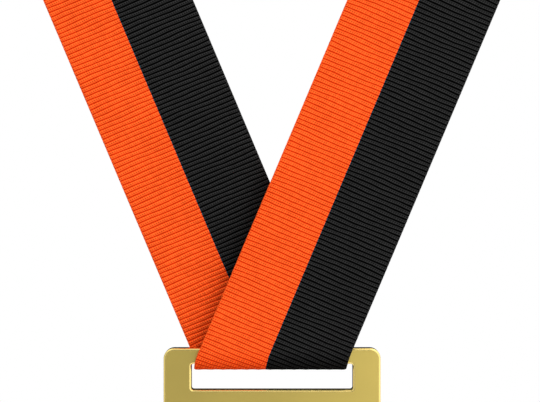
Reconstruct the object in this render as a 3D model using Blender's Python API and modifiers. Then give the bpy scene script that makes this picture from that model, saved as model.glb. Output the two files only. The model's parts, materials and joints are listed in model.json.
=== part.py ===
"""Finisher medal on its neck ribbon, hanging as it is worn.

A die-cast plate hangs by its bar in the fold of a woven two-colour ribbon. The ribbon's two ends lap at
the nape, where a box of lockstitch holds them. Metres, +Z up, the wearer faces -Y, and the origin is
where the ribbon's inner face rests on the nape.
"""

import math

import bmesh
import bpy
import numpy as np
from mathutils import Matrix, Vector

MM = 0.001

# The ribbon.
RIBBON_WIDTH = 38.75 * MM
RIBBON_THICKNESS = 0.8 * MM
RIBBON_CUT_LENGTH = 880.0 * MM
LAP_LENGTH = 30.0 * MM  # how much of the two ends lies one on the other
LAP_GAP = 0.3 * MM
LAP_EASE = 9.0 * MM  # run over which an end steps out to the lap
LEG_TILT = math.radians(22.9)  # each leg of the V, from the vertical
NECK_FLAT = 0.18  # half of the flat stretch before and behind the neck, for each unit below the apex

# The plate.
PLATE_WIDTH = 60.0 * MM
PLATE_HEIGHT = 80.0 * MM
PLATE_THICKNESS = 3.5 * MM
PLATE_CORNER = 2.9 * MM
PLATE_ARRIS = 0.55 * MM
BAR_HEIGHT = 4.3 * MM
SLOT_HEIGHT = 7.2 * MM
SLOT_CORNER = 0.65 * MM
SLOT_END_ROOM = 1.29 * MM  # from each edge of the folded ribbon to the slot's end
PLATE_SHIFT = 0.52 * MM  # the plate hangs this far to one side of the ribbon's middle

# The fold round the bar.
FOLD_CLEARANCE = 0.38 * MM  # from the bar's corners to the ribbon, so that the plate can swing
TURN_RUN = 7.6 * MM  # the legs come upright over this run, from the lowest line of the fold

# The relief on the plate.
PANEL_BELOW_SLOT = 6.7 * MM
PANEL_MARGIN = 5.0 * MM
PANEL_CORNER = 2.0 * MM
PANEL_DEPTH = 0.5 * MM
BACK_DEPTH = 0.4 * MM
BOSS_RADIUS = 9.5 * MM
BOSS_HEIGHT = 0.35 * MM
LEAF_LENGTH = 6.6 * MM
LEAF_WIDTH = 2.7 * MM
LEAF_HEIGHT = 0.4 * MM
LEAF_SINK = 0.05 * MM  # how far the widest line of a leaf lies under the panel's floor
LEAF_OFFSET = 2.0 * MM  # from the wreath's line to the middle of a leaf
LEAF_POINT = 0.35  # how much narrower a leaf is towards its ends
LEAF_PAIRS = 7
LEAF_SPLAY = math.radians(27.0)
WREATH_RADIUS = 18.0 * MM
WREATH_GAP = math.radians(30.0)  # left open at the top, on each side of the middle
WREATH_FOOT = math.radians(17.0)  # and at the bottom

# The stitching.
THREAD_RADIUS = 0.2 * MM
THREAD_GAP = 0.3 * MM
STITCH_MARGIN = 3.5 * MM
STITCH_CORNER = 1.5 * MM

# How finely the shapes are divided.
COLUMNS = 6
ROW_LENGTH = 7.0 * MM
FOLD_ROWS = 8
FAN_ROWS = 5
FAN_RUN = 45.0 * MM  # above this, the rows of the leg lie square to its edges
SECTION_STEPS = 900
CORNER_POINTS = 4
CUTTER_OVER = 1.0 * MM

# What follows from the sizes.
SPAN = RIBBON_WIDTH / math.cos(LEG_TILT)  # the ribbon's width, measured level
SLOT_LENGTH = SPAN + 2 * SLOT_END_ROOM
FOLD_RADIUS = math.hypot(BAR_HEIGHT, PLATE_THICKNESS) / 2 + FOLD_CLEARANCE + RIBBON_THICKNESS / 2
QUARTER_FOLD = FOLD_RADIUS * math.pi / 2
HALF_LOOP = (RIBBON_CUT_LENGTH - LAP_LENGTH - TURN_RUN) / 2  # nape to where the legs' middles cross
APEX_TO_CROSSING = HALF_LOOP / math.cos(LEG_TILT)
APEX_TO_NAPE = HALF_LOOP * math.tan(LEG_TILT)
LAP_STEP = (RIBBON_THICKNESS + LAP_GAP) / 2
NAPE_STEP = LAP_STEP + RIBBON_THICKNESS / 2  # from the middle of the lap to either outer face
PANEL_TOP = BAR_HEIGHT + SLOT_HEIGHT + PANEL_BELOW_SLOT  # below the plate's upper edge
PANEL_WIDTH = PLATE_WIDTH - 2 * PANEL_MARGIN
PANEL_HEIGHT = PLATE_HEIGHT - PANEL_TOP - PANEL_MARGIN


def neck_rays(side_radius):
    """Unit rays from the apex through half of the neck's outline, from the nape to the front, and the
    angle turned up to each. The outline is a stadium, one unit below the apex."""
    level = np.linspace(0, NECK_FLAT, SECTION_STEPS)
    turn = np.linspace(0, math.pi, SECTION_STEPS)[1:-1]
    across = [level, NECK_FLAT + side_radius * np.sin(turn), level[::-1]]
    behind = [level * 0 + 2 * side_radius, side_radius * (1 + np.cos(turn)), level * 0]
    rays = np.column_stack([np.concatenate(across), np.concatenate(behind), -np.ones(3 * SECTION_STEPS - 2)])
    rays /= np.linalg.norm(rays, axis=1)[:, None]
    steps = 2 * np.arcsin(np.linalg.norm(np.diff(rays, axis=0), axis=1) / 2)
    return rays, np.concatenate([[0], np.cumsum(steps)])


def fitted_neck():
    """The side radius at which half of the ribbon goes just once round half of the neck."""
    low, high = 0.02, 2.0
    for _ in range(50):
        middle = (low + high) / 2
        if neck_rays(middle)[1][-1] < math.pi / 2 - LEG_TILT:
            low = middle
        else:
            high = middle
    return low


SIDE_RADIUS = fitted_neck()
RAYS, TURNED = neck_rays(SIDE_RADIUS)
NAPE_RAY = Vector(RAYS[0])
NAPE_NORMAL = Vector((0, -NAPE_RAY.z, NAPE_RAY.y))  # out of the neck, square to the lap
NAPE_MIDDLE = NAPE_NORMAL * NAPE_STEP
APEX = NAPE_MIDDLE - NAPE_RAY * APEX_TO_NAPE
CROSSING_Z = APEX.z - APEX_TO_CROSSING
BAR_Z = CROSSING_Z + QUARTER_FOLD - TURN_RUN / 2
BAR_AXIS = Vector((PLATE_SHIFT, APEX.y, BAR_Z))


def smooth(share):
    share = min(max(share, 0.0), 1.0)
    return share * share * (3 - 2 * share)


def loop_row(along, side):
    """Points square across a leg, orange edge first, at this distance along it from the nape. side is 1
    for the front leg and -1 for the rear one."""
    share = min(max(along / HALF_LOOP, 0.0), 1.0)
    stand_off = FOLD_RADIUS * (1 - (1 - share) ** 2)
    lift = LAP_STEP * (1 - smooth((along - LAP_LENGTH / 2) / LAP_EASE))
    moved = APEX + side * (NAPE_NORMAL * lift - Vector((0, stand_off, 0)))
    row = []
    for column in range(COLUMNS + 1):
        across = APEX_TO_NAPE + side * RIBBON_WIDTH * (column / COLUMNS - 0.5)
        turned = math.atan2(abs(along), across)
        ray = Vector([float(np.interp(turned, TURNED, RAYS[:, axis])) for axis in range(3)])
        ray.x *= side * math.copysign(1, along)
        row.append(moved + ray.normalized() * math.hypot(along, across))
    return row


def fold_row(run, side):
    """Points level across the ribbon, orange edge first, at this run up a leg from the fold's lowest line."""
    share = min(run / TURN_RUN, 1.0)
    sideways = math.tan(LEG_TILT) * TURN_RUN * (share**3 - share**4 / 2)
    angle = min(run / FOLD_RADIUS, math.pi / 2)
    depth = APEX.y - side * FOLD_RADIUS * math.sin(angle)
    height = BAR_Z - FOLD_RADIUS * math.cos(angle) + max(run - QUARTER_FOLD, 0.0)
    shares = [column / COLUMNS - 0.5 for column in range(COLUMNS + 1)]
    return [Vector((side * sideways + SPAN * share, depth, height)) for share in shares]


def half_ribbon(side):
    """Rows of points from one sewn end, round half of the neck and down to the fold's lowest line."""
    start, end = -LAP_LENGTH / 2, HALF_LOOP - FAN_RUN
    count = math.ceil((end - start) / ROW_LENGTH)
    rows = [loop_row(start + (end - start) * step / count, side) for step in range(count + 1)]
    square, level = rows[-1], fold_row(TURN_RUN, side)
    for step in range(1, FAN_ROWS):
        rows.append([a.lerp(b, step / FAN_ROWS) for a, b in zip(square, level)])
    rows.append(level)
    for step in range(FOLD_ROWS, -1, -1):
        rows.append(fold_row(QUARTER_FOLD * step / FOLD_ROWS, side))
    return rows


def material(name, colour, roughness, metallic=0.0):
    made = bpy.data.materials.new(name)
    made.use_nodes = True
    shader = made.node_tree.nodes["Principled BSDF"]
    shader.inputs["Base Color"].default_value = (*colour, 1)
    shader.inputs["Roughness"].default_value = roughness
    shader.inputs["Metallic"].default_value = metallic
    return made


def add_object(name, bm, collection, look=None):
    mesh = bpy.data.meshes.new(name)
    bm.to_mesh(mesh)
    bm.free()
    made = bpy.data.objects.new(name, mesh)
    collection.objects.link(made)
    if look:
        mesh.materials.append(look)
    return made


def make_ribbon(collection, look):
    """One band from end to end: a grid laid along the rows, then given its thickness."""
    rows = half_ribbon(1) + half_ribbon(-1)[-2::-1]
    bm = bmesh.new()
    bmesh.ops.create_grid(bm, x_segments=COLUMNS, y_segments=len(rows) - 1, size=1)
    for vert in bm.verts:
        column = round((vert.co.x + 1) / 2 * COLUMNS)
        row = round((vert.co.y + 1) / 2 * (len(rows) - 1))
        vert.co = rows[row][column]
    ribbon = add_object("neck_ribbon", bm, collection, look)
    shell = ribbon.modifiers.new("thickness", "SOLIDIFY")
    shell.thickness = RIBBON_THICKNESS
    shell.offset = 0
    shell.use_even_offset = True
    return ribbon


def make_thread(name, face, collection, look):
    """The thread on one face of the lap: a box with rounded corners. face is 1 outside, -1 on the nape."""
    half_long = LAP_LENGTH / 2 - STITCH_MARGIN - STITCH_CORNER
    half_wide = RIBBON_WIDTH / 2 - STITCH_MARGIN - STITCH_CORNER
    curve = bpy.data.curves.new(name, "CURVE")
    curve.dimensions = "3D"
    curve.bevel_depth = THREAD_RADIUS
    curve.bevel_resolution = 2
    curve.materials.append(look)
    spline = curve.splines.new("POLY")
    spline.points.add(4 * CORNER_POINTS - 1)
    for index, place in enumerate(spline.points):
        corner, step = divmod(index, CORNER_POINTS)
        angle = math.pi / 2 * (corner + step / (CORNER_POINTS - 1))
        right = math.copysign(half_long, math.cos(math.pi / 2 * (corner + 0.5)))
        up = math.copysign(half_wide, math.sin(math.pi / 2 * (corner + 0.5)))
        place.co = (right + STITCH_CORNER * math.cos(angle), up + STITCH_CORNER * math.sin(angle), 0, 1)
    spline.use_cyclic_u = True
    thread = bpy.data.objects.new(name, curve)
    collection.objects.link(thread)
    stand_off = NAPE_STEP + THREAD_GAP + THREAD_RADIUS
    axes = Matrix((Vector((1, 0, 0)), -NAPE_RAY, NAPE_NORMAL)).transposed().to_4x4()
    thread.matrix_world = Matrix.Translation(NAPE_MIDDLE + face * stand_off * NAPE_NORMAL) @ axes
    return thread


def block(width, depth, height, corner, segments=6):
    """A block about the origin, with its four edges along Y rounded."""
    bm = bmesh.new()
    bmesh.ops.create_cube(bm, size=1)
    bmesh.ops.scale(bm, vec=(width, depth, height), verts=bm.verts)
    along_y = [edge for edge in bm.edges if abs(edge.verts[0].co.y - edge.verts[1].co.y) > depth / 2]
    bmesh.ops.bevel(
        bm, geom=along_y, offset=corner, offset_type="OFFSET", segments=segments, profile=0.5, affect="EDGES"
    )
    return bm


def leaf_places():
    """Side, middle and heading of each laurel leaf, in the plane of the plate about the wreath's middle."""
    sweep = (math.pi - WREATH_GAP - WREATH_FOOT) / LEAF_PAIRS
    for side in (1, -1):
        for index in range(LEAF_PAIRS):
            angle = WREATH_FOOT + sweep * (index + 0.5)  # from straight down
            for row in (1, -1):
                radius = WREATH_RADIUS + row * LEAF_OFFSET
                heading = angle + math.pi / 2 - row * LEAF_SPLAY
                yield side, Vector((radius * math.sin(angle), 0, -radius * math.cos(angle))), heading


def wreath_form():
    """All leaves in one form, each an almond that stands half out of the panel's floor."""
    bm = bmesh.new()
    for side, middle, heading in leaf_places():
        along = Vector((math.sin(heading), 0, -math.cos(heading)))
        over = Vector((along.z, 0, -along.x))
        for vert in bmesh.ops.create_uvsphere(bm, u_segments=12, v_segments=6, radius=1)["verts"]:
            long, wide, high = vert.co.z, vert.co.x, vert.co.y
            wide *= 1 - LEAF_POINT * abs(long)
            place = middle + along * long * LEAF_LENGTH / 2 + over * wide * LEAF_WIDTH / 2
            vert.co = Vector((side * place.x, high * (LEAF_HEIGHT + LEAF_SINK) + LEAF_SINK, place.z))
    bmesh.ops.recalc_face_normals(bm, faces=bm.faces)
    return bm


def boss_form():
    """A low round boss with sloped sides, half of it below the panel's floor."""
    bm = bmesh.new()
    bmesh.ops.create_cone(
        bm,
        cap_ends=True,
        segments=40,
        radius1=BOSS_RADIUS,
        radius2=BOSS_RADIUS - BOSS_HEIGHT,
        depth=2 * BOSS_HEIGHT,
        matrix=Matrix.Rotation(math.pi / 2, 4, "X"),
    )
    return bm


def shape_with(plate, name, operation, bm, tools, place):
    """Cuts a form from the plate, or joins it to the plate. The form itself isn't a piece."""
    tool = add_object(name + "_form", bm, tools)
    tool.location = place
    tool.hide_render = True
    tool.display_type = "WIRE"
    made = plate.modifiers.new(name, "BOOLEAN")
    made.operation = operation
    made.object = tool
    made.solver = "EXACT"


def make_plate(collection, tools, look):
    """The casting, with its origin on the bar's axis, where it swings."""
    below_axis = BAR_HEIGHT / 2 - PLATE_HEIGHT / 2
    bm = block(PLATE_WIDTH, PLATE_THICKNESS, PLATE_HEIGHT, PLATE_CORNER)
    bmesh.ops.translate(bm, vec=(0, 0, below_axis), verts=bm.verts)
    plate = add_object("medal_plate", bm, collection, look)
    plate.location = BAR_AXIS

    slot = block(SLOT_LENGTH, PLATE_THICKNESS + 2 * CUTTER_OVER, SLOT_HEIGHT, SLOT_CORNER, 3)
    slot_middle = BAR_AXIS - Vector((0, 0, (BAR_HEIGHT + SLOT_HEIGHT) / 2))
    shape_with(plate, "slot", "DIFFERENCE", slot, tools, slot_middle)

    arris = plate.modifiers.new("arris", "BEVEL")
    arris.width = PLATE_ARRIS
    arris.segments = 2
    arris.limit_method = "ANGLE"
    arris.angle_limit = math.radians(50)

    panel_middle = BAR_AXIS + Vector((0, 0, BAR_HEIGHT / 2 - PANEL_TOP - PANEL_HEIGHT / 2))
    for name, depth, face in (("front_panel", PANEL_DEPTH, -1), ("back_panel", BACK_DEPTH, 1)):
        recess = block(PANEL_WIDTH, depth + CUTTER_OVER, PANEL_HEIGHT, PANEL_CORNER)
        inward = (PLATE_THICKNESS - depth + CUTTER_OVER) / 2
        shape_with(plate, name, "DIFFERENCE", recess, tools, panel_middle + Vector((0, face * inward, 0)))

    floor = panel_middle - Vector((0, PLATE_THICKNESS / 2 - PANEL_DEPTH, 0))
    shape_with(plate, "boss", "UNION", boss_form(), tools, floor)
    shape_with(plate, "wreath", "UNION", wreath_form(), tools, floor)
    return plate


def main():
    for old in list(bpy.data.objects):
        bpy.data.objects.remove(old)
    collection = bpy.data.collections.new("finisher_medal")
    tools = bpy.data.collections.new("cutters")
    for made in (collection, tools):
        bpy.context.scene.collection.children.link(made)
    woven = material("woven_ribbon", (0.87, 0.1, 0.015), 0.85)
    thread = material("sewing_thread", (0.02, 0.02, 0.02), 0.7)
    gold = material("satin_gold_plate", (0.55, 0.4, 0.1), 0.35, 1.0)
    make_ribbon(collection, woven)
    make_thread("needle_thread", 1, collection, thread)
    make_thread("bobbin_thread", -1, collection, thread)
    make_plate(collection, tools, gold)


main()
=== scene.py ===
"""Looks of the finisher medal: a satin gold plate in the fold of a two-colour grosgrain ribbon."""

import json
import math

import bmesh
import bpy
import numpy as np
from mathutils import Matrix, Vector


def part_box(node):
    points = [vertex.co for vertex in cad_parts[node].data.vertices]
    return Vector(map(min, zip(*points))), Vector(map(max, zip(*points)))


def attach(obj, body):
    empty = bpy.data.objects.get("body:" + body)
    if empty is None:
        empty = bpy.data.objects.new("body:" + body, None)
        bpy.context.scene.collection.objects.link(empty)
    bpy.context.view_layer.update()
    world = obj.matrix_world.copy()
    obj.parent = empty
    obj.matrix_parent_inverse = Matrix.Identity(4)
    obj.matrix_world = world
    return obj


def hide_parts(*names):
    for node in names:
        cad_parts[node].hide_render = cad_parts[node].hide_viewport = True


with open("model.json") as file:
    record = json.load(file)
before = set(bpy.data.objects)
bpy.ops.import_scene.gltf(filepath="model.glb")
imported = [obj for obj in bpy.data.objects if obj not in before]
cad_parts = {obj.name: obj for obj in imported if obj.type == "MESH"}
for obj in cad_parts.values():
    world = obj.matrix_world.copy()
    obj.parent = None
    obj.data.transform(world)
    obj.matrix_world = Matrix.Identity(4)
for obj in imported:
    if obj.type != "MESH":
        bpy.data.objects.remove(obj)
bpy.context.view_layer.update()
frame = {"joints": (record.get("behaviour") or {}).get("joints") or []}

bl_info = {
    "name": "Finisher Medal Maker",
    "version": (1, 0, 0),
    "blender": (4, 5, 0),
    "location": "3D View > Sidebar > Medal",
    "description": "Weaves the neck ribbon, casts the plate and lights the stage",
    "category": "Object",
}

MM = 0.001
PLATE_LOW, PLATE_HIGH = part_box("medal_plate")
SWING = next(joint for joint in frame["joints"] if joint["name"] == "medal_swing")
BAR_AXIS = Vector(SWING["pos_m"])
PLATE_SIZE = PLATE_HIGH - PLATE_LOW
PLATE_MIDDLE = (PLATE_LOW + PLATE_HIGH) / 2

DRIFT_RUN = 40 * MM  # beyond the fold, over which the colour change moves on the rear leg
PRESSED_OUT = 6 * MM  # how far from the fold the ribs have their full depth again
PRESSED_DEPTH = 0.1  # share of the rib depth that is left at the fold
EDGE_CORD = 1.2  # how far in, in selvedge widths, the cord along each edge ends
COLUMNS = 13  # of vertices over the ribs, between the two selvedges

SUNK = 0.12 * MM  # how deep a relief form is rooted in the floor under it
LEAF_PAIRS = 7  # on each branch
BRANCH_FOOT = math.radians(17)  # from straight down to the first leaves
BRANCH_GAP = math.radians(30)  # from straight up to a branch's last leaves
LEAF_SWEEP = (math.pi - BRANCH_GAP - BRANCH_FOOT) / LEAF_PAIRS

ARRIS_LOOK, WALL_LOOK = 1, 2  # places in the casting's list of looks

LAMP_DISTANCE = 0.9
LAMP_SIZE = 0.8
FLOOR_RADIUS = 1.2


# ---------------------------------------------------------------- settings


def length(name, description, default):
    return bpy.props.FloatProperty(
        name=name, description=description, default=default, unit="LENGTH", precision=5
    )


def colour(name, description, default):
    return bpy.props.FloatVectorProperty(
        name=name, description=description, default=default, subtype="COLOR", size=3, min=0, max=1
    )


def fraction(name, description, default):
    return bpy.props.FloatProperty(
        name=name, description=description, default=default, subtype="FACTOR", min=0, max=1
    )


def watts(name, description, default):
    return bpy.props.FloatProperty(
        name=name, description=description, default=default, unit="POWER", min=0
    )


class RibbonSettings(bpy.types.PropertyGroup):
    """Sizes and colours of the neck ribbon."""

    width: length("Width", "Across the ribbon, from edge to edge", 38.75 * MM)
    thickness: length("Thickness", "Over the crests of the ribs", 0.8 * MM)
    cut_length: length("Cut length", "Before the ends are lapped", 880 * MM)
    lap_length: length("Lap", "How much of the two ends lies one on the other", 30 * MM)
    lap_gap: length("Lap gap", "Between the two layers of the lap", 0.3 * MM)
    lap_ease: length("Lap ease", "Run over which an end steps out to the lap", 9 * MM)
    leg_tilt: bpy.props.FloatProperty(
        name="Leg tilt",
        description="Each leg of the V, from the vertical",
        default=math.radians(22.9),
        subtype="ANGLE",
    )
    neck_flat: fraction(
        "Neck flat", "Half of the neck's flat stretch, per unit below the apex", 0.18
    )
    turn_run: length("Turn run", "Run in which the legs come upright into the fold", 7.6 * MM)
    fold_clearance: length("Fold clearance", "From the bar's corners to the ribbon", 0.38 * MM)
    rib_pitch: length("Rib pitch", "From one rib to the next", 1.28 * MM)
    rib_depth: length("Rib depth", "From a rib's crest to the groove, on each face", 0.2 * MM)
    rib_wave: length("Rib wave", "How far a rib strays from a straight line", 0.16 * MM)
    yarn_pitch: length("Yarn pitch", "From one warp yarn to the next", 0.64 * MM)
    selvedge: length("Selvedge", "Width of the smooth cord along each edge", 0.35 * MM)
    first_share: fraction("First colour", "Share of the width in the first colour", 0.4695)
    border_drift: length("Border drift", "Less of the first colour on the rear leg", 0.52 * MM)
    first: colour("First dye", "Of the part that lies to the left", (0.87, 0.098, 0.0155))
    second: colour("Second dye", "Of the part that lies to the right", (0.017, 0.017, 0.017))


class PlateSettings(bpy.types.PropertyGroup):
    """Sizes and colours of the cast plate."""

    corner: length("Corner", "Radius of the plate's corners", 2.9 * MM)
    arris: length("Arris", "Width of the bright rounded edge", 0.55 * MM)
    bar_height: length("Bar height", "Of the strip above the slot", 4.3 * MM)
    slot_height: length("Slot height", "From the bar to the slot's lower edge", 7.2 * MM)
    slot_corner: length("Slot corner", "Radius of the slot's corners", 0.65 * MM)
    slot_end_room: length("Slot end room", "From the ribbon to each end of the slot", 1.29 * MM)
    panel_below_slot: length("Panel below slot", "From the slot to the sunk panel", 6.7 * MM)
    panel_margin: length("Panel margin", "From the sunk panel to the plate's edges", 5 * MM)
    panel_corner: length("Panel corner", "Radius of the panel's corners", 2 * MM)
    panel_depth: length("Panel depth", "Of the panel on the front", 0.5 * MM)
    back_depth: length("Back depth", "Of the panel on the back", 0.4 * MM)
    boss_radius: length("Boss radius", "Of the round boss in the wreath", 9.5 * MM)
    boss_height: length("Boss height", "Above the panel's floor", 0.35 * MM)
    leaf_length: length("Leaf length", "From stalk to tip", 6.6 * MM)
    leaf_width: length("Leaf width", "At its widest", 2.7 * MM)
    leaf_height: length("Leaf height", "Above the panel's floor", 0.4 * MM)
    leaf_offset: length("Leaf offset", "From the wreath's line to a leaf's middle", 2 * MM)
    wreath_radius: length("Wreath radius", "Of the line that the leaves grow from", 18 * MM)
    gold: colour("Gold", "Of the satin faces", (0.93, 0.716, 0.187))
    # The bright gold is partly a real finish and partly painted highlight: a lighter copy of the
    # gold for the polished arrises and relief.
    bright: colour("Bright gold", "Of the polished edges and relief", (1.0, 0.775, 0.26))
    satin: fraction("Satin", "Roughness of the faces", 0.3)


class StitchSettings(bpy.types.PropertyGroup):
    """Sizes and colour of the lockstitch at the nape."""

    thread: length("Thread", "Radius of the sewing thread", 0.2 * MM)
    stitch: length("Stitch", "Length of one stitch", 2.4 * MM)
    gap: length("Stitch gap", "Between two stitches", 0.35 * MM)
    margin: length("Margin", "From the lap's edges to the seam", 3.5 * MM)
    corner: length("Corner", "Radius of the seam's corners", 1.5 * MM)
    colour: colour("Thread colour", "Of both threads", (0.02, 0.02, 0.02))


class StageSettings(bpy.types.PropertyGroup):
    """Camera, lamps and floor."""

    distance: length("Distance", "From the camera to the plate's face", 320 * MM)
    view_width: length("View width", "What the frame takes in at the plate's face", 149 * MM)
    eye_height: length("Eye height", "Of the camera above the plate's upper edge", 40.68 * MM)
    eye_aside: length("Eye aside", "Of the camera, to the right of the ribbon's middle", -0.06 * MM)
    key_power: watts("Key", "Of the lamp in front, to the right", 7.1)
    fill_power: watts("Fill", "Of the lamp behind, to the left", 4.0)
    floor_drop: length("Floor drop", "From the medal down to the floor", 500 * MM)
    floor: colour("Floor", "Of the floor", (0.76, 0.76, 0.75))


# ---------------------------------------------------------------- shader helpers


class Nodes:
    """Short calls for building one node tree."""

    def __init__(self, tree):
        self.tree = tree
        tree.nodes.clear()

    def add(self, kind, inputs=(), **settings):
        made = self.tree.nodes.new(kind)
        for key, value in settings.items():
            setattr(made, key, value)
        for key, value in dict(inputs).items():
            self.feed(made.inputs[key], value)
        return made

    def feed(self, socket, value):
        if isinstance(value, bpy.types.NodeSocket):
            self.tree.links.new(value, socket)
        elif isinstance(value, bpy.types.Node):
            self.tree.links.new(value.outputs[0], socket)
        else:
            socket.default_value = value

    def math(self, operation, *values):
        return self.add("ShaderNodeMath", dict(enumerate(values)), operation=operation)

    def mix(self, amount, first, second, blend="MIX"):
        made = self.add("ShaderNodeMix", data_type="RGBA", blend_type=blend)
        for key, value in zip((0, 6, 7), (amount, first, second)):
            self.feed(made.inputs[key], value)
        return made.outputs[2]

    def ramp(self, value, low, high, first=0.0, second=1.0, smooth=True):
        kind = "SMOOTHSTEP" if smooth else "LINEAR"
        inputs = dict(enumerate((value, low, high, first, second)))
        return self.add("ShaderNodeMapRange", inputs, interpolation_type=kind)

    def scaled(self, tint, factor):
        """A colour times a number."""
        grey = self.add("ShaderNodeCombineColor", {0: factor, 1: factor, 2: factor})
        return self.mix(1.0, tint, grey, "MULTIPLY")

    def bump(self, shader, height, strength, distance):
        inputs = {"Strength": strength, "Distance": distance, "Height": height}
        self.feed(shader.inputs["Normal"], self.add("ShaderNodeBump", inputs))

    def noise(self, vector, scale, detail=2.0):
        made = self.add("ShaderNodeTexNoise", {"Scale": scale, "Detail": detail})
        self.feed(made.inputs["Vector"], vector)
        return made.outputs["Fac"]


def new_material(name):
    made = bpy.data.materials.new(name)
    made.use_nodes = True
    nodes = Nodes(made.node_tree)
    shader = nodes.add("ShaderNodeBsdfPrincipled")
    nodes.add("ShaderNodeOutputMaterial", {"Surface": shader})
    return made, nodes, shader


def grosgrain(ribbon, fold_at):
    """Two colours woven in one width: ribs across, fine warp yarns along, painted highlights and
    shade on the yarns, and painted shade in the grooves between the ribs and near the fold. fold_at
    is the place along the ribbon where its middle line goes under the bar."""
    made, nodes, shader = new_material("grosgrain")
    place = nodes.add("ShaderNodeSeparateXYZ", {0: nodes.add("ShaderNodeUVMap", uv_map="weave")})
    across, along = place.outputs[0], place.outputs[1]
    border_at = ribbon.width * ribbon.first_share
    drifted = border_at - ribbon.border_drift
    border_at = nodes.ramp(along, fold_at, fold_at + DRIFT_RUN, border_at, drifted)
    second = nodes.math("GREATER_THAN", across, border_at)

    def by_dye(in_first, in_second):
        return nodes.ramp(second, 0, 1, in_first, in_second)

    # Painted shade in the grooves between the ribs, weaker over the cord along each edge.
    ribs = nodes.math("DIVIDE", along, ribbon.rib_pitch)
    phase = nodes.math("FRACT", ribs)
    from_groove = nodes.math("PINGPONG", ribs, 0.5)
    groove = nodes.ramp(from_groove, 0.07, by_dye(0.23, 0.25), 1.0, 0.0)
    edge = nodes.math("MINIMUM", across, nodes.math("SUBTRACT", ribbon.width, across))
    inside = nodes.ramp(edge, 0.4 * ribbon.selvedge, 1.3 * ribbon.selvedge, 0.3, 1.0)
    groove = nodes.math("MULTIPLY", groove, inside)

    # Warp yarns, as painted light: a row of painted shade in the gaps in the middle of each rib and
    # a row of painted highlights on the crowns under it.
    stagger = nodes.math("MULTIPLY", nodes.math("FLOOR", ribs), 0.37)
    lean = nodes.math("MULTIPLY", phase, 0.5)
    shift = nodes.math("ADD", stagger, lean)
    yarns = nodes.math("ADD", nodes.math("DIVIDE", across, ribbon.yarn_pitch), shift)
    yarn = nodes.ramp(nodes.math("PINGPONG", yarns, 0.5), 0.04, 0.34)
    from_middle = nodes.math("ABSOLUTE", nodes.math("SUBTRACT", phase, 0.48))
    from_lower = nodes.math("ABSOLUTE", nodes.math("SUBTRACT", phase, 0.74))
    middle_row = nodes.ramp(from_middle, 0.1, 0.2, 1.0, 0.0)
    lower_row = nodes.ramp(from_lower, 0.08, 0.18, 1.0, 0.0)
    gap = nodes.math("MULTIPLY", nodes.math("SUBTRACT", 1.0, yarn), middle_row)
    crown = nodes.math("MULTIPLY", yarn, lower_row)

    # The dyes, and the thin dark line where they meet.
    dyed = nodes.mix(second, (*ribbon.first, 1), (*ribbon.second, 1))
    line_at = nodes.math("ADD", border_at, 0.13 * MM)
    from_line = nodes.math("ABSOLUTE", nodes.math("SUBTRACT", across, line_at))
    line = nodes.ramp(from_line, 0.1 * MM, 0.2 * MM, 1.0, 0.0)
    dyed = nodes.mix(line, dyed, (0.002, 0.03, 0.045, 1))

    # How near the fold's lowest line a place is, for the painted shade where the ribbon turns under
    # the bar.
    up = nodes.math("MULTIPLY", nodes.math("SUBTRACT", fold_at, along), math.cos(ribbon.leg_tilt))
    from_middle_line = nodes.math("SUBTRACT", across, ribbon.width / 2)
    aside = nodes.math("MULTIPLY", from_middle_line, math.sin(ribbon.leg_tilt))
    from_fold = nodes.math("ABSOLUTE", nodes.math("SUBTRACT", up, aside))
    fold_shade = nodes.ramp(from_fold, 1 * MM, 8 * MM, 1.0, 0.0)

    # Painted light and shade over the dyes: painted highlights and shade on the yarns, the uneven
    # dyeing, then painted shade in the grooves and near the fold.
    grid = nodes.add("ShaderNodeCombineXYZ", {0: across, 1: along})
    patch = nodes.noise(grid, 90.0)
    fibre = nodes.noise(grid, 2600.0, 3.0)
    per_yarn = nodes.add("ShaderNodeTexWhiteNoise", noise_dimensions="2D")
    one_yarn = {0: nodes.math("FLOOR", yarns), 1: nodes.math("FLOOR", ribs)}
    nodes.feed(per_yarn.inputs["Vector"], nodes.add("ShaderNodeCombineXYZ", one_yarn))
    lit, dark = nodes.math("MULTIPLY", crown, 0.36), nodes.math("MULTIPLY", gap, 0.55)
    light = nodes.math("MULTIPLY", nodes.math("SUBTRACT", lit, dark), by_dye(1.0, 1.8))
    light = nodes.math("ADD", light, by_dye(0.98, 1.04))
    for factor in (
        nodes.ramp(per_yarn.outputs["Value"], 0.0, 1.0, 0.9, 1.08, smooth=False),
        nodes.ramp(patch, 0.25, 0.75, 0.96, 1.04),
        nodes.ramp(fibre, 0.3, 0.7, 0.93, 1.06),
        nodes.ramp(groove, 0, 1, 1.0, 0.6, smooth=False),
        nodes.math("SUBTRACT", 1.0, nodes.math("MULTIPLY", fold_shade, by_dye(0.1, 0.4))),
    ):
        light = nodes.math("MULTIPLY", light, factor)
    # Painted shade: the dyes are deepened in the grooves and near the fold.
    depth = nodes.math("ADD", nodes.math("MULTIPLY", groove, by_dye(0.38, 0.9)), 1.0)
    gamma = nodes.math("ADD", nodes.math("MULTIPLY", fold_shade, 0.12), depth)
    shaded_dye = nodes.add("ShaderNodeGamma", {"Color": dyed, "Gamma": gamma})
    nodes.feed(shader.inputs["Base Color"], nodes.scaled(shaded_dye, light))

    yarn_height = nodes.math("MULTIPLY", yarn, 0.7)
    height = nodes.math("ADD", yarn_height, nodes.math("MULTIPLY", fibre, 0.3))
    nodes.bump(shader, height, 0.6, 0.08 * MM)
    shader.inputs["Roughness"].default_value = 0.82
    shader.inputs["Specular IOR Level"].default_value = 0.01
    return made


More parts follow.
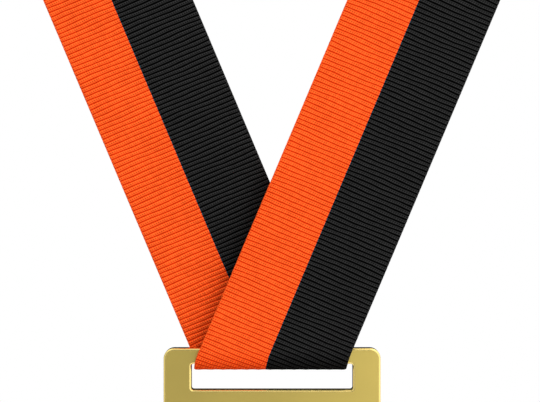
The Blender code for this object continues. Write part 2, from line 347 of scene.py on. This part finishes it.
def thread_finish(tint):
    """Twisted polyester thread."""
    made, nodes, shader = new_material("sewing_thread")
    place = nodes.add("ShaderNodeTexCoord").outputs["Object"]
    twist = nodes.add("ShaderNodeTexWave", {"Vector": place, "Scale": 900.0, "Distortion": 1.0})
    shade = nodes.ramp(twist.outputs["Fac"], 0.0, 1.0, 0.6, 1.5, smooth=False)
    nodes.feed(shader.inputs["Base Color"], nodes.scaled((*tint, 1), shade))
    nodes.bump(shader, twist.outputs["Fac"], 0.5, 0.05 * MM)
    shader.inputs["Roughness"].default_value = 0.55
    return made


def gold_finish(name, tint, roughness, grain, grain_depth):
    """Gold plating over a blasted or polished casting. grain is in bumps for each metre."""
    made, nodes, shader = new_material(name)
    place = nodes.add("ShaderNodeTexCoord").outputs["Object"]
    fine = nodes.noise(place, grain, 3.0)
    cloud = nodes.noise(place, 60.0)
    tone = nodes.ramp(cloud, 0.3, 0.7, 0.97, 1.03)
    nodes.feed(shader.inputs["Base Color"], nodes.scaled((*tint, 1), tone))
    uneven = nodes.ramp(fine, 0.3, 0.7, roughness * 0.92, roughness * 1.08)
    nodes.feed(shader.inputs["Roughness"], uneven)
    nodes.bump(shader, fine, 0.35, grain_depth)
    shader.inputs["Metallic"].default_value = 1.0
    return made


# ---------------------------------------------------------------- the ribbon's course


def neck_rays(neck_flat, side_radius, steps=900):
    """Unit rays from the apex through half of the neck's outline, from the nape to the front, and
    the angle turned up to each. The outline is a stadium, one unit below the apex."""
    level = np.linspace(0, neck_flat, steps)
    turn = np.linspace(0, math.pi, steps)[1:-1]
    across = [level, neck_flat + side_radius * np.sin(turn), level[::-1]]
    behind = [level * 0 + 2 * side_radius, side_radius * (1 + np.cos(turn)), level * 0]
    below = -np.ones(3 * steps - 2)
    rays = np.column_stack([np.concatenate(across), np.concatenate(behind), below])
    rays /= np.linalg.norm(rays, axis=1)[:, None]
    between = 2 * np.arcsin(np.linalg.norm(np.diff(rays, axis=0), axis=1) / 2)
    return rays, np.concatenate([[0], np.cumsum(between)])


class Course:
    """The surface in the middle of the ribbon's thickness: round the neck, down both legs and
    under the bar."""

    def __init__(self, ribbon, bar_height):
        self.tilt, self.turn, self.lap, self.ease = (
            ribbon.leg_tilt, ribbon.turn_run, ribbon.lap_length, ribbon.lap_ease
        )
        self.half = (ribbon.cut_length - self.lap - self.turn) / 2
        self.to_nape = self.half * math.tan(self.tilt)
        corner = math.hypot(bar_height, PLATE_SIZE.y) / 2
        self.radius = corner + ribbon.fold_clearance + ribbon.thickness / 2
        self.quarter = self.radius * math.pi / 2
        self.lap_step = (ribbon.thickness + ribbon.lap_gap) / 2
        self.nape_step = self.lap_step + ribbon.thickness / 2
        self.length = self.lap + 2 * self.half + self.turn / math.cos(self.tilt)
        low, high = 0.02, 2.0  # the neck's side radius lies between these, per unit below the apex
        for _ in range(50):
            middle = (low + high) / 2
            turned = neck_rays(ribbon.neck_flat, middle)[1][-1]
            low, high = (middle, high) if turned < math.pi / 2 - self.tilt else (low, middle)
        self.rays, self.turned = neck_rays(ribbon.neck_flat, low)
        # The legs take over from the loop in the middle of the flat stretch at the chest.
        self.flat_from = np.mean(self.turned[[-len(self.rays) // 3, -1]])
        self.nape_ray = self.rays[0]
        self.nape_normal = np.array([0, -self.nape_ray[2], self.nape_ray[1]])
        self.nape = self.nape_normal * self.nape_step
        self.apex = self.nape - self.nape_ray * self.to_nape
        self.bar_z = self.apex[2] - self.half / math.cos(self.tilt) + self.quarter - self.turn / 2

    def points(self, place, offset):
        """Points at these distances from the front leg's sewn end, and these offsets from the
        middle line towards the second colour."""
        cos, tan = math.cos(self.tilt), math.tan(self.tilt)
        up = self.half + self.lap / 2 - place  # up the front leg, from where the legs cross
        run = self.from_fold(place, offset)
        side = np.where(run >= 0, 1.0, -1.0)  # front leg or rear leg
        up = np.where(side > 0, up, -up - self.turn / cos)
        run, out = np.abs(run), side * offset
        along = self.half - up  # from the nape
        share = np.minimum(run / self.turn, 1)
        sideways = tan * (self.turn * (share**3 - share**4 / 2) + np.maximum(run - self.turn, 0))
        stand_off = self.radius * (1 - (1 - np.clip(along / self.half, 0, 1)) ** 2)
        angle = np.minimum(run / self.radius, math.pi / 2)
        depth = np.where(run < self.quarter, self.radius * np.sin(angle), stand_off)
        height = self.bar_z - self.radius * np.cos(angle) + np.maximum(run - self.quarter, 0)
        leg = [side * (sideways + out / cos), self.apex[1] - side * depth, height]

        across = self.to_nape + out
        turned = np.arctan2(np.abs(along), across)
        ray = [np.interp(turned, self.turned, self.rays[:, axis]) for axis in range(3)]
        ray = np.stack(ray, axis=-1)
        ray /= np.linalg.norm(ray, axis=-1)[..., None]
        ray[..., 0] *= side * np.sign(along + 1e-12)
        ease = np.clip((along - self.lap / 2) / self.ease, 0, 1)
        lift = side * self.lap_step * (1 - ease * ease * (3 - 2 * ease))
        loop = self.apex + ray * np.hypot(along, across)[..., None]
        loop += lift[..., None] * self.nape_normal
        loop[..., 1] -= side * stand_off
        return np.where((turned < self.flat_from)[..., None], loop, np.stack(leg, axis=-1))

    def from_fold(self, place, offset):
        """How far along the front leg, straight up, points lie from the fold's lowest line."""
        up = self.half + self.lap / 2 - place
        return up * math.cos(self.tilt) - offset * math.sin(self.tilt) + self.turn / 2

    def normals(self, place, offset, step=0.05 * MM):
        """Unit normals, out of the front of the front leg."""
        down = self.points(place + step, offset) - self.points(place - step, offset)
        over = self.points(place, offset + step) - self.points(place, offset - step)
        normal = np.cross(down, over)
        return normal / np.linalg.norm(normal, axis=-1)[..., None]


# ---------------------------------------------------------------- objects


def add_object(name, mesh, *looks):
    made = bpy.data.objects.new(name, mesh)
    bpy.context.scene.collection.objects.link(made)
    for look in looks:
        mesh.materials.append(look)
    return made


def mesh_from(name, bm):
    mesh = bpy.data.meshes.new(name)
    bm.to_mesh(mesh)
    bm.free()
    return mesh


def apply_modifiers(made):
    """Gives the object its mesh with the modifiers applied, in place of the mesh that it had."""
    bpy.context.view_layer.update()
    graph = bpy.context.evaluated_depsgraph_get()
    mesh = bpy.data.meshes.new_from_object(made.evaluated_get(graph), depsgraph=graph)
    made.modifiers.clear()
    made.data = mesh


def set_smooth(bm):
    for face in bm.faces:
        face.smooth = True


def band_grid(ribbon, course):
    """Places along the ribbon, four to each rib, and offsets from its middle line."""
    per_rib = np.array([0.0, 0.16, 0.5, 0.84])
    count = math.floor(course.length / ribbon.rib_pitch)
    place = (np.arange(count)[:, None] + per_rib).ravel() * ribbon.rib_pitch
    place = np.append(place, count * ribbon.rib_pitch)
    half = ribbon.width / 2
    inner = np.linspace(-1, 1, COLUMNS) * (half - 3.5 * ribbon.selvedge)
    outer = half - np.array([0, EDGE_CORD]) * ribbon.selvedge
    offset = np.concatenate([-outer, inner, outer[::-1]])
    return np.meshgrid(place, offset, indexing="ij")


def band_faces(rows, around):
    """Walls between the rings round the ribbon's section, and a cap over each sewn end."""
    index = np.arange(rows * around).reshape(rows, around)
    side = np.roll(index, -1, axis=1)
    walls = np.stack([index[:-1], index[1:], side[1:], side[:-1]], axis=-1).reshape(-1, 4)
    caps = []
    for ring, order in ((index[0], 1), (index[-1], -1)):
        for near in range(around // 2 - 1):
            far = around - 1 - near
            caps.append([ring[near], ring[near + 1], ring[far - 1], ring[far]][::order])
    return walls.tolist() + caps


def woven_band(ribbon, course):
    """The ribbon's mesh: both faces with their ribs, which thin out to a cord along each edge."""
    place, offset = band_grid(ribbon, course)
    half = ribbon.width / 2
    ribs = place / ribbon.rib_pitch
    crest = np.sqrt(np.abs(np.sin(math.pi * ribs)))
    from_edge = half - np.abs(offset)
    rounding = np.interp(from_edge / ribbon.selvedge, (0, EDGE_CORD, 2), (0.45, 0.93, 1))
    smooth_edge = np.interp(from_edge / ribbon.selvedge, (0, 2), (0.45, 1))
    from_fold = np.abs(course.from_fold(place, offset))
    pressed = np.clip(from_fold / PRESSED_OUT, PRESSED_DEPTH, 1)
    groove = (1 - crest) * smooth_edge * pressed
    thick = (ribbon.thickness / 2 - ribbon.rib_depth * groove) * rounding

    # The ribs stray a little, less so near the sewn ends, and each groove nicks the edge.
    wave = np.sin(offset * 410 + ribs * 0.9)
    wave += 0.6 * np.sin(offset * 970 - ribs * 1.7 + 1.3)
    wave += 0.8 * np.sin(offset * 190 + ribs * 0.31 + 0.4)
    fade = np.clip(np.minimum(place, course.length - place) / (4 * ribbon.rib_pitch), 0, 1)
    shifted = place + wave * fade * ribbon.rib_wave / 2
    nick = 0.03 * MM / half * (1 - crest) * (from_edge < ribbon.selvedge)
    notched = offset * (1 - nick)

    middle = course.points(shifted, notched)
    outwards = course.normals(shifted, notched) * thick[..., None]
    rings = np.concatenate([middle + outwards, (middle - outwards)[:, ::-1]], axis=1)
    mesh = bpy.data.meshes.new("neck_ribbon_weave")
    mesh.from_pydata(rings.reshape(-1, 3).tolist(), [], band_faces(*rings.shape[:2]))
    weave = np.stack([offset + half, place], axis=-1)
    weave = np.concatenate([weave, weave[:, ::-1]], axis=1).reshape(-1, 2)
    corners = np.empty(len(mesh.loops), np.int32)
    mesh.loops.foreach_get("vertex_index", corners)
    layer = mesh.uv_layers.new(name="weave")
    layer.data.foreach_set("uv", weave[corners].astype(np.float32).ravel())
    mesh.shade_smooth()
    mesh.update()
    return mesh


def seam_outline(half_long, half_wide, corner, steps=12):
    """A closed line round a box with rounded corners, as points and the distance run up to each."""
    points = []
    for turn in range(4):
        right = math.copysign(half_long - corner, math.cos(math.pi / 2 * (turn + 0.5)))
        up = math.copysign(half_wide - corner, math.sin(math.pi / 2 * (turn + 0.5)))
        for step in range(steps + 1):
            angle = math.pi / 2 * (turn + step / steps)
            points.append((right + corner * math.cos(angle), up + corner * math.sin(angle)))
    points = np.array(points + points[:1])  # closed
    run = np.linalg.norm(np.diff(points, axis=0), axis=1)
    return points, np.concatenate([[0], np.cumsum(run)])


def stitch_row(sewing, ribbon):
    """One face of a lockstitch seam about the origin. Each stitch is a thread that dips into the
    ribbon at both ends."""
    outline, run = seam_outline(
        ribbon.lap_length / 2 - sewing.margin, ribbon.width / 2 - sewing.margin, sewing.corner
    )
    count = round(run[-1] / sewing.stitch)
    pitch = run[-1] / count
    sides, steps = 10, 12
    bm = bmesh.new()
    for index in range(count):
        rings = []
        for step in range(steps + 1):
            angle = math.pi * step / steps
            along = pitch * (index + 0.5) - (pitch - sewing.gap) / 2 * math.cos(angle)
            middle, next_middle = (
                Vector([np.interp(at, run, outline[:, axis]) for axis in (0, 1)])
                for at in (along, along + 0.1 * MM)
            )
            ahead = (next_middle - middle).normalized()
            over = Vector((-ahead.y, ahead.x))
            arch = math.sin(angle)  # none at the stitch's ends, which lie 1.7 radii deep
            rise = sewing.thread * (2.2 * arch**0.6 - 1.7)
            radius = sewing.thread * (0.55 + 0.45 * arch**0.5)
            ring = []
            for side in range(sides):
                turn = 2 * math.pi * side / sides
                plane = middle + over * math.cos(turn) * radius
                ring.append(bm.verts.new((plane.x, plane.y, rise + math.sin(turn) * radius)))
            rings.append(ring)
        for first, second in zip(rings, rings[1:]):
            for side in range(sides):
                after = (side + 1) % sides
                bm.faces.new((first[side], second[side], second[after], first[after]))
        bm.faces.new(rings[0])
        bm.faces.new(rings[-1][::-1])
    bmesh.ops.recalc_face_normals(bm, faces=bm.faces)
    set_smooth(bm)
    return bm


def block(width, depth, height, corner, segments, slope=0.0):
    """A block about the origin, with its four edges along Y rounded. slope draws its sides in
    at one end: at +Y, or at -Y where it is negative."""
    bm = bmesh.new()
    bmesh.ops.create_cube(bm, size=1)
    bmesh.ops.scale(bm, vec=(width, depth, height), verts=bm.verts)
    along_y = [
        edge for edge in bm.edges if abs(edge.verts[0].co.y - edge.verts[1].co.y) > depth / 2
    ]
    bmesh.ops.bevel(
        bm,
        geom=along_y,
        offset=corner,
        offset_type="OFFSET",
        segments=segments,
        profile=0.5,
        affect="EDGES",
    )
    for vert in bm.verts:
        if vert.co.y * slope > 0:
            vert.co.x *= 1 - 2 * abs(slope) / width
            vert.co.z *= 1 - 2 * abs(slope) / height
    return bm


def cut(plate, name, bm, place):
    """Takes a form out of the plate. The form has to stay until the modifiers are applied."""
    tool = add_object(name, mesh_from(name, bm))
    tool.location = place
    made = plate.modifiers.new(name, "BOOLEAN")
    made.operation = "DIFFERENCE"
    made.object = tool
    made.solver = "EXACT"
    return tool


def slot_top(plate):
    return PLATE_HIGH.z - plate.bar_height


def panel_top(plate):
    return slot_top(plate) - plate.slot_height - plate.panel_below_slot


def panel_bottom(plate):
    return PLATE_LOW.z + plate.panel_margin


def plate_casting(plate, ribbon, looks):
    """The casting with its slot, rounded arrises and sunk panels. looks are for the faces, for the
    arrises and for the walls."""
    wide, deep, high = PLATE_SIZE
    outline = mesh_from("casting", block(wide, deep, high, plate.corner, 14))
    casting = add_object("plate_casting", outline, *looks)
    casting.location = PLATE_MIDDLE

    slot_length = ribbon.width / math.cos(ribbon.leg_tilt) + 2 * plate.slot_end_room
    slot_middle = PLATE_MIDDLE.copy()
    slot_middle.z = slot_top(plate) - plate.slot_height / 2
    opening = block(slot_length, 2 * deep, plate.slot_height, plate.slot_corner, 6)
    tools = [cut(casting, "slot", opening, slot_middle)]

    arris = casting.modifiers.new("arris", "BEVEL")
    arris.width = plate.arris
    arris.segments = 5
    arris.limit_method = "ANGLE"
    arris.angle_limit = math.radians(50)
    arris.material = ARRIS_LOOK
    arris.use_clamp_overlap = False

    width = wide - 2 * plate.panel_margin
    height = panel_top(plate) - panel_bottom(plate)
    for name, depth, face in (("front", plate.panel_depth, -1), ("back", plate.back_depth, 1)):
        sizes = (width + 2 * depth, 2 * depth, height + 2 * depth)
        recess = block(*sizes, plate.panel_corner, 10, slope=-face * 2 * depth)
        place = PLATE_MIDDLE.copy()
        place.y += face * deep / 2
        place.z = (panel_top(plate) + panel_bottom(plate)) / 2
        tools.append(cut(casting, name, recess, place))
    apply_modifiers(casting)
    for tool in tools:
        bpy.data.objects.remove(tool)

    casting.data.shade_smooth()
    casting.data.set_sharp_from_angle(angle=math.radians(28))
    weighted = casting.modifiers.new("weighted", "WEIGHTED_NORMAL")
    weighted.keep_sharp = True
    apply_modifiers(casting)
    for face in casting.data.polygons:
        if abs(face.normal.y) < 0.1:
            face.material_index = WALL_LOOK
    return casting


def panel_middle(plate):
    """The middle of the front panel's floor."""
    height = (panel_top(plate) + panel_bottom(plate)) / 2
    return Vector((PLATE_MIDDLE.x, PLATE_LOW.y + plate.panel_depth, height))


def grid_form(bm, rings):
    """Faces between rings of points, with a flat cap at each end."""
    made = [[bm.verts.new(point) for point in ring] for ring in rings]
    for first, second in zip(made, made[1:]):
        for index in range(len(first)):
            after = (index + 1) % len(first)
            bm.faces.new((first[index], second[index], second[after], first[after]))
    bm.faces.new(made[0])
    bm.faces.new(made[-1][::-1])


def on_wreath(reach, angle, side=1):
    """A place on the panel's floor, at an angle from straight down about the wreath's middle."""
    return Vector((side * reach * math.sin(angle), 0, -reach * math.cos(angle)))


def leaf_places(plate):
    """Side of each laurel leaf, and its middle and heading as on the right-hand branch."""
    splay = math.radians(27)
    for side in (1, -1):
        for index in range(LEAF_PAIRS):
            angle = BRANCH_FOOT + LEAF_SWEEP * (index + 0.5)
            for row in (1, -1):
                middle = on_wreath(plate.wreath_radius + row * plate.leaf_offset, angle)
                yield side, middle, angle + math.pi / 2 - row * splay


def add_leaf(bm, plate, side, middle, heading):
    """A pointed leaf with a sunk midrib and fine side veins."""
    steps, halves = 16, 6
    along = Vector((math.sin(heading), 0, -math.cos(heading)))
    over = Vector((along.z, 0, -along.x))
    rings = []
    for step in range(steps + 1):
        share = 0.012 + 0.976 * step / steps  # the leaf stops just short of a point at both ends
        swell = math.sin(math.pi * share**0.9) ** 0.8
        ring = []
        for index in range(2 * halves + 1):
            across = index / halves - 1
            dome = (1 - across * across) ** 0.5 if abs(across) < 1 else 0.0
            midrib = 0.4 * math.exp(-((across / 0.13) ** 2)) * min(1.0, 2.4 * (1 - share))
            veins = math.cos(2 * math.pi * (share * 6 + abs(across) * 1.3))
            vein = 0.09 * veins * (1 - abs(across))
            high = plate.leaf_height * swell**0.5 * (dome * (0.95 - midrib) + vein * dome)
            place = middle + along * (share - 0.5) * plate.leaf_length
            place += over * across * swell * plate.leaf_width / 2
            ring.append((side * place.x, -high, place.z))
        first, last = ring[0], ring[-1]
        ring += [(last[0], SUNK, last[2]), (first[0], SUNK, first[2])]
        rings.append(ring)
    grid_form(bm, rings)


def add_stem(bm, side, radius, start, end, thick):
    """A tapered stalk bent along the wreath, half sunk."""
    steps, sides = 40, 12
    rings = []
    for step in range(steps + 1):
        share = step / steps
        size = thick * (1 - 0.55 * share)
        ring = []
        for turn in range(sides):
            spin = 2 * math.pi * turn / sides
            place = on_wreath(radius + size * math.cos(spin), start + (end - start) * share, side)
            ring.append((place.x, -size * math.sin(spin), place.z))
        rings.append(ring)
    grid_form(bm, rings)


def wreath_relief(plate):
    """Two laurel branches that meet at a knot, with stalks, leaves and berries."""
    stalk_end, stalk_size = math.radians(146), 0.34 * MM
    berry_offset, berry_size = 0.85 * MM, 0.34 * MM
    bm = bmesh.new()
    for place in leaf_places(plate):
        add_leaf(bm, plate, *place)
    for side, stalk_start in ((1, -0.26), (-1, 0.14)):  # one stalk runs on past the knot
        add_stem(bm, side, plate.wreath_radius, stalk_start, stalk_end, stalk_size)
        for index in range(LEAF_PAIRS):
            angle = BRANCH_FOOT + LEAF_SWEEP * (index + 1.02)
            for row in (1, -1):
                berry = on_wreath(plate.wreath_radius + row * berry_offset, angle, side)
                bmesh.ops.create_icosphere(
                    bm, subdivisions=2, radius=berry_size, matrix=Matrix.Translation(berry)
                )
    flattened = Matrix.Diagonal((1.1, 0.38, 0.75, 1))
    knot = Matrix.Translation(on_wreath(plate.wreath_radius, 0)) @ flattened
    bmesh.ops.create_uvsphere(bm, u_segments=20, v_segments=12, radius=MM, matrix=knot)
    bmesh.ops.recalc_face_normals(bm, faces=bm.faces)
    set_smooth(bm)
    return bm


def boss_relief(plate):
    """A round boss with a raised rim, a beaded ring and a five-pointed star."""
    radius, high = plate.boss_radius, plate.boss_height
    field = 0.36  # how high the field in the rim lies, as a share of the boss's height
    rim = (  # mm in from the boss's edge, and the share of its height there
        (0, 0), (0.12, 0.7), (0.3, 0.95), (0.55, 1),
        (0.85, 1), (1.05, 0.9), (1.3, 0.42), (1.5, field),
    )
    profile = [(radius, -SUNK)]
    profile += [(radius - inset * MM, share * high) for inset, share in rim]
    profile.append((0.5 * MM, field * high))
    bm = bmesh.new()
    steps = 96
    rings = []
    for reach, rise in profile:
        turns = (2 * math.pi * step / steps for step in range(steps))
        rings.append([(reach * math.sin(turn), -rise, reach * math.cos(turn)) for turn in turns])
    grid_form(bm, rings)
    beads, bead_size, bead_inset = 60, 0.26 * MM, 1.95 * MM
    for step in range(beads):
        turn = 2 * math.pi * step / beads
        reach = radius - bead_inset
        bead = Matrix.Translation((reach * math.sin(turn), -field * high, reach * math.cos(turn)))
        bmesh.ops.create_icosphere(bm, subdivisions=1, radius=bead_size, matrix=bead)
    set_smooth(bm)
    add_star(bm, (6.6 * MM, 2.75 * MM), 0.5 * high, 1.25 * high)
    bmesh.ops.recalc_face_normals(bm, faces=bm.faces)
    return bm


def add_star(bm, reaches, edge_height, peak_height):
    """A faceted five-pointed star. reaches are to its points and to the notches between them."""
    corners = 10
    outline = []
    for step in range(corners):
        turn = 2 * math.pi / corners * step
        reach = reaches[step % 2]
        outline.append((reach * math.sin(turn), reach * math.cos(turn)))
    floor = [bm.verts.new((x, 0, z)) for x, z in outline]
    edge = [bm.verts.new((x, -edge_height, z)) for x, z in outline]
    peak = bm.verts.new((0, -peak_height, 0))
    bm.faces.new(floor)
    for step in range(corners):
        after = (step + 1) % corners
        bm.faces.new((floor[step], floor[after], edge[after], edge[step]))
        bm.faces.new((edge[step], edge[after], peak))


# ---------------------------------------------------------------- the stage


def add_lamp(name, aim, towards, power):
    """A round soft lamp that leaves no glint of its own on the gold."""
    lamp = bpy.data.lights.new(name, "AREA")
    lamp.shape = "DISK"
    lamp.size = LAMP_SIZE
    lamp.energy = power
    made = bpy.data.objects.new(name, lamp)
    bpy.context.scene.collection.objects.link(made)
    made.location = aim + towards.normalized() * LAMP_DISTANCE
    made.rotation_euler = (-towards).to_track_quat("-Z", "Y").to_euler()
    made.visible_glossy = False


def studio_world(scene):
    """A pale tent that the gold mirrors: dim in front and lighter on the left, a bright wall on the
    right, a bright top, and a dark gap straight behind. The camera sees plain white."""
    world = bpy.data.worlds.new("studio")
    world.use_nodes = True
    scene.world = world
    nodes = Nodes(world.node_tree)
    generated = nodes.add("ShaderNodeTexCoord").outputs["Generated"]
    right, deep, up = nodes.add("ShaderNodeSeparateXYZ", {0: generated}).outputs
    tent = nodes.ramp(right, 0.06, 0.2, 0.34, 1.25)
    left = nodes.ramp(nodes.math("MULTIPLY", right, -1.0), 0.16, 0.5, 0.0, 0.38)
    top = nodes.ramp(up, 0.4, 0.8, -0.04, 0.6)
    behind = nodes.ramp(deep, 0.2, 0.75, 0.0, 0.35)
    for more in (left, top, behind):
        tent = nodes.math("ADD", tent, more)
    gap = nodes.ramp(deep, 0.5, 0.85, 1.0, 0.03)
    tent = nodes.math("MULTIPLY", tent, gap)
    seen = nodes.add("ShaderNodeLightPath").outputs["Is Camera Ray"]
    unseen = nodes.math("SUBTRACT", 1.0, seen)
    strength = nodes.math("ADD", nodes.math("MULTIPLY", tent, unseen), seen)
    background = nodes.add("ShaderNodeBackground", {"Color": (1, 1, 1, 1), "Strength": strength})
    nodes.add("ShaderNodeOutputWorld", {"Surface": background})


def add_floor(stage):
    """A plain pale floor, well below the medal, that fades into the pale backdrop all round."""
    made, nodes, shader = new_material("floor")
    place = nodes.add("ShaderNodeTexCoord").outputs["Object"]
    away = nodes.add("ShaderNodeVectorMath", {0: place}, operation="LENGTH").outputs["Value"]
    fade = nodes.ramp(away, 0.35 * FLOOR_RADIUS, 0.97 * FLOOR_RADIUS, 1.0, 0.0)
    nodes.feed(shader.inputs["Alpha"], fade)
    shader.inputs["Base Color"].default_value = (*stage.floor, 1)
    shader.inputs["Roughness"].default_value = 0.9
    bm = bmesh.new()
    bmesh.ops.create_circle(bm, cap_ends=True, segments=96, radius=FLOOR_RADIUS)
    floor = add_object("floor", mesh_from("floor", bm), made)
    floor.location = (0, BAR_AXIS.y, PLATE_LOW.z - stage.floor_drop)


# ---------------------------------------------------------------- operators


class PieceMaker(bpy.types.Operator):
    """Base of the operators that make pieces."""

    bl_options = {"REGISTER", "UNDO"}

    def hand_over(self, made, body, *nodes, slot):
        """Lets a piece ride on a body of the frame, in place of these nodes."""
        if not made.data.polygons:
            raise RuntimeError(f"{made.name} came out empty: its sizes don't go together")
        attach(made, body)
        if nodes:
            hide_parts(*nodes)


class MEDAL_OT_weave_ribbon(PieceMaker):
    """Weave the two-colour grosgrain ribbon along its course, with its ends lapped at the nape"""

    bl_idname = "medal.weave_ribbon"
    bl_label = "Weave Ribbon"

    def execute(self, context):
        ribbon, plate = context.scene.medal_ribbon, context.scene.medal_plate
        course = Course(ribbon, plate.bar_height)
        look = grosgrain(ribbon, course.length / 2)
        made = add_object("woven_ribbon", woven_band(ribbon, course), look)
        self.hand_over(made, "neck_loop", "neck_ribbon", slot="woven_ribbon")
        return {"FINISHED"}


class MEDAL_OT_sew_lap(PieceMaker):
    """Sew the lapped ends with a box of lockstitches on both faces"""

    bl_idname = "medal.sew_lap"
    bl_label = "Sew Lap"

    def execute(self, context):
        ribbon, sewing = context.scene.medal_ribbon, context.scene.medal_stitches
        course = Course(ribbon, context.scene.medal_plate.bar_height)
        look = thread_finish(sewing.colour)
        ray, out = Vector(course.nape_ray), Vector(course.nape_normal)
        for thread, face in (("needle", 1), ("bobbin", -1)):
            name = thread + "_stitches"
            made = add_object(name, mesh_from(name, stitch_row(sewing, ribbon)), look)
            axes = Matrix((Vector((face, 0, 0)), -ray, face * out)).transposed().to_4x4()
            surface = Vector(course.nape) + face * course.nape_step * out
            made.matrix_world = Matrix.Translation(surface) @ axes
            self.hand_over(made, "neck_loop", thread + "_thread", slot="sewing_thread")
        return {"FINISHED"}


class MEDAL_OT_cast_plate(PieceMaker):
    """Cast the gold plate with its slot, sunk panels, laurel wreath and boss"""

    bl_idname = "medal.cast_plate"
    bl_label = "Cast Plate"

    def execute(self, context):
        ribbon, plate = context.scene.medal_ribbon, context.scene.medal_plate
        rough = plate.satin
        satin = gold_finish("satin_gold", plate.gold, rough, 5200.0, 0.012 * MM)
        # The polished gold is smoother, and its lighter colour is a painted highlight on the
        # arrises and relief.
        polished = gold_finish("polished_gold_painted_highlight", plate.bright, 0.85 * rough, 3000.0, 0.004 * MM)
        trimmed = gold_finish("trimmed_gold", plate.gold, 0.3 * rough, 3000.0, 0.003 * MM)
        casting = plate_casting(plate, ribbon, (satin, polished, trimmed))
        self.hand_over(casting, "medal", "medal_plate", slot="satin_gold")
        for name, relief in (("wreath_relief", wreath_relief), ("boss_relief", boss_relief)):
            made = add_object(name, mesh_from(name, relief(plate)), polished)
            made.location = panel_middle(plate)
            self.hand_over(made, "medal", slot="satin_gold")
        return {"FINISHED"}


class MEDAL_OT_light_stage(bpy.types.Operator):
    """Set up the camera, the soft studio light and the floor"""

    bl_idname = "medal.light_stage"
    bl_label = "Light Stage"

    def execute(self, context):
        stage = context.scene.medal_stage
        context.scene.view_settings.view_transform = "Standard"
        camera = bpy.data.objects.new("camera", bpy.data.cameras.new("camera"))
        context.scene.collection.objects.link(camera)
        camera.location = (
            stage.eye_aside, PLATE_LOW.y - stage.distance, PLATE_HIGH.z + stage.eye_height
        )
        camera.rotation_euler = (math.pi / 2, 0, 0)
        camera.data.lens = camera.data.sensor_width * stage.distance / stage.view_width
        camera.data.clip_start = 0.01
        context.scene.camera = camera
        studio_world(context.scene)
        middle = Vector((0, BAR_AXIS.y, -190 * MM))
        add_lamp("key", middle, Vector((0.62, -0.95, 0.62)), stage.key_power)
        add_lamp("fill", middle, Vector((-0.5, 0.95, 0.45)), stage.fill_power)
        add_floor(stage)
        return {"FINISHED"}


class MEDAL_PT_maker(bpy.types.Panel):
    """Sizes, colours and the steps that make the medal"""

    bl_idname = "MEDAL_PT_maker"
    bl_label = "Finisher Medal"
    bl_space_type = "VIEW_3D"
    bl_region_type = "UI"
    bl_category = "Medal"

    def draw(self, context):
        for step, settings in STEPS:
            box = self.layout.box()
            box.operator(step.bl_idname)
            group = getattr(context.scene, settings)
            for name in group.bl_rna.properties.keys():
                if name not in ("rna_type", "name"):
                    box.prop(group, name)


SETTINGS = {
    "medal_ribbon": RibbonSettings,
    "medal_stitches": StitchSettings,
    "medal_plate": PlateSettings,
    "medal_stage": StageSettings,
}
STEPS = (
    (MEDAL_OT_weave_ribbon, "medal_ribbon"),
    (MEDAL_OT_sew_lap, "medal_stitches"),
    (MEDAL_OT_cast_plate, "medal_plate"),
    (MEDAL_OT_light_stage, "medal_stage"),
)
CLASSES = (*SETTINGS.values(), *(step for step, _ in STEPS), MEDAL_PT_maker)


def register():
    for item in CLASSES:
        bpy.utils.register_class(item)
    for name, group in SETTINGS.items():
        setattr(bpy.types.Scene, name, bpy.props.PointerProperty(type=group))


def unregister():
    for name in SETTINGS:
        delattr(bpy.types.Scene, name)
    for item in reversed(CLASSES):
        bpy.utils.unregister_class(item)


def main():
    register()
    bpy.ops.medal.weave_ribbon()
    bpy.ops.medal.sew_lap()
    bpy.ops.medal.cast_plate()
    bpy.ops.medal.light_stage()


if __name__ == "__main__":
    main()
